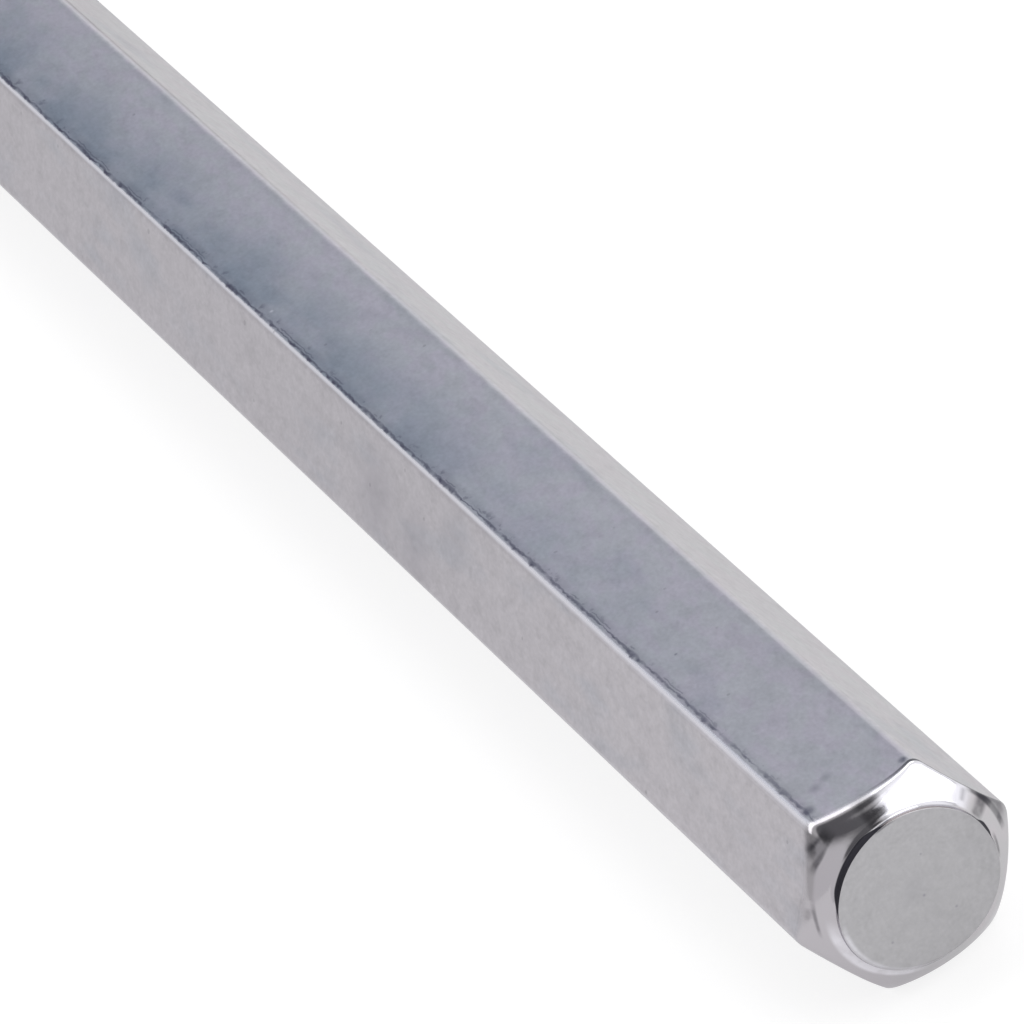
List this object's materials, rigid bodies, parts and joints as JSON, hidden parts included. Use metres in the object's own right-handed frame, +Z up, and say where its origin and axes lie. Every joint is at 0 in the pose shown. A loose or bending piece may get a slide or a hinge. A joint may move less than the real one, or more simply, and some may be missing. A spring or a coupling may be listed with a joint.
{
  "type": "hex key",
  "caption": "L-shaped hex key of bright plated steel bar, with a hexagonal section, one right-angle bend and turned, polished tips.",
  "frame": {"origin": "centre of the long arm's end face, on the bar's centreline", "axes": "+X along the long arm, out of its end face; +Y the way the short arm points; +Z up, square to the flat that the key lies on"},
  "size_m": [0.096, 0.038, 0.006],
  "materials": {
    "bright_steel": "bright plating over drawn bar, satin on the flats, polished at the turned tips"
  },
  "bodies": {
    "root": {"hex_key": "bright_steel"}
  },
  "joints": []
}
